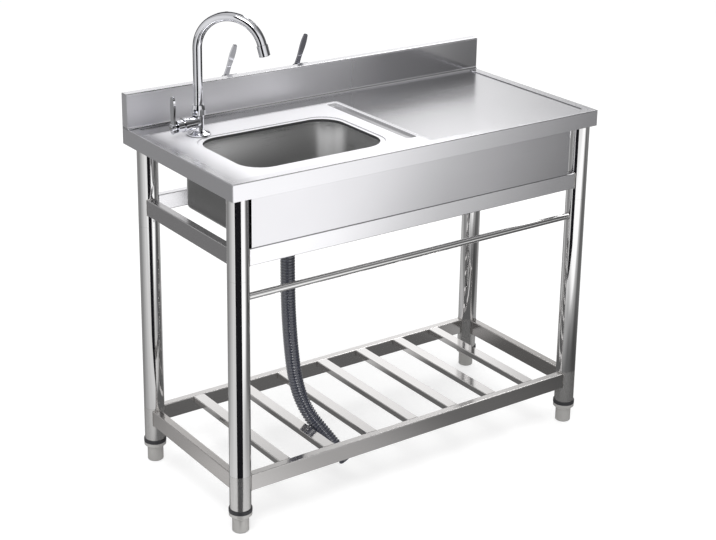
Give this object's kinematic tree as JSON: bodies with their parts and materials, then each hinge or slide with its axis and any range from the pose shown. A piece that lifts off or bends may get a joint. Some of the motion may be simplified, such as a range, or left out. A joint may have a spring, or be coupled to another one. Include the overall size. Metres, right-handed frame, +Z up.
{
  "type": "kitchen sink unit",
  "caption": "Free-standing steel kitchen sink unit with a bowl, drainer, splashback, slatted shelf, towel rod, swan-neck tap and drain hose.",
  "frame": {"origin": "centre of the footprint on the floor, halfway between the front skirt and the back of the stop valve levers", "axes": "+X along the worktop to the drainer end, +Y back to the splashback, +Z up"},
  "size_m": [1.05, 0.546, 1.146],
  "materials": {
    "satin_steel": "satin",
    "polished_steel": "mirror polished",
    "foot_steel": "satin",
    "chrome": "polished",
    "screw_steel": "satin",
    "waste_steel": "satin",
    "black_plastic": "matte",
    "rubber": "matte",
    "hose_plastic": "satin"
  },
  "bodies": {
    "unit": {"bowl": "satin_steel", "deck_stiffeners": "satin_steel", "drain_hose": "hose_plastic", "foot_inserts": "black_plastic", "front_apron": "satin_steel", "grub_screws": "screw_steel", "hose_nut": "black_plastic", "leg_spigots": "satin_steel", "leg_tube_back_left": "polished_steel", "leg_tube_back_right": "polished_steel", "leg_tube_front_left": "polished_steel", "leg_tube_front_right": "polished_steel", "lower_rail_back": "satin_steel", "lower_rail_front": "satin_steel", "lower_rail_left": "satin_steel", "lower_rail_right": "satin_steel", "lower_socket_back_left": "satin_steel", "lower_socket_back_right": "satin_steel", "lower_socket_front_left": "satin_steel", "lower_socket_front_right": "satin_steel", "shelf_slat_1": "satin_steel", "shelf_slat_2": "satin_steel", "shelf_slat_3": "satin_steel", "shelf_slat_4": "satin_steel", "shelf_slat_5": "satin_steel", "shelf_slat_6": "satin_steel", "shelf_slat_7": "satin_steel", "socket_caps": "satin_steel", "spout_nut": "chrome", "stop_valve_left": "chrome", "stop_valve_right": "chrome", "tap_backnut": "screw_steel", "tap_body": "chrome", "tap_bonnet": "chrome", "tap_gasket": "rubber", "towel_rod": "polished_steel", "upper_rail_back": "satin_steel", "upper_rail_front": "satin_steel", "upper_rail_left": "satin_steel", "upper_rail_right": "satin_steel", "upper_socket_back_left": "polished_steel", "upper_socket_back_right": "polished_steel", "upper_socket_front_left": "polished_steel", "upper_socket_front_right": "polished_steel", "valve_screws": "screw_steel", "waste_body": "waste_steel", "waste_gasket": "rubber", "waste_nut": "black_plastic", "worktop": "satin_steel"},
    "spout": {"tap_spout": "chrome", "tap_aerator": "chrome"},
    "tap_handle": {"tap_lever": "chrome", "tap_lever_screw": "screw_steel"},
    "strainer": {"waste_strainer": "waste_steel"},
    "left_valve_handle": {"stop_valve_lever_left": "chrome"},
    "right_valve_handle": {"stop_valve_lever_right": "chrome"},
    "foot_front_left": {"levelling_foot_front_left": "foot_steel"},
    "foot_front_right": {"levelling_foot_front_right": "foot_steel"},
    "foot_back_left": {"levelling_foot_back_left": "foot_steel"},
    "foot_back_right": {"levelling_foot_back_right": "foot_steel"}
  },
  "joints": [
    {"name": "spout_swivel", "type": "hinge", "parent": "unit", "child": "spout", "pos_m": [-0.401, 0.085, 0.92], "axis": [0, 0, 1], "continuous": true},
    {"name": "tap_handle_turn", "type": "hinge", "parent": "unit", "child": "tap_handle", "pos_m": [-0.46665, 0.07577, 0.8795], "axis": [0.9903, 0.1392, 0], "range_deg": [0, 90]},
    {"name": "strainer_lift", "type": "slide", "parent": "unit", "child": "strainer", "axis": [0, 0, 1], "range_m": [0, 0.25]},
    {"name": "left_valve_handle_turn", "type": "hinge", "parent": "unit", "child": "left_valve_handle", "pos_m": [-0.222, 0.259, 0.913], "axis": [0, 1, 0], "range_deg": [-20, 70]},
    {"name": "right_valve_handle_turn", "type": "hinge", "parent": "unit", "child": "right_valve_handle", "pos_m": [-0.014, 0.259, 0.913], "axis": [0, 1, 0], "range_deg": [-20, 70]},
    {"name": "foot_front_left_screw", "type": "slide", "parent": "unit", "child": "foot_front_left", "axis": [0, 0, 1], "range_m": [-0.025, 0]},
    {"name": "foot_front_right_screw", "type": "slide", "parent": "unit", "child": "foot_front_right", "axis": [0, 0, 1], "range_m": [-0.025, 0]},
    {"name": "foot_back_left_screw", "type": "slide", "parent": "unit", "child": "foot_back_left", "axis": [0, 0, 1], "range_m": [-0.025, 0]},
    {"name": "foot_back_right_screw", "type": "slide", "parent": "unit", "child": "foot_back_right", "axis": [0, 0, 1], "range_m": [-0.025, 0]}
  ]
}
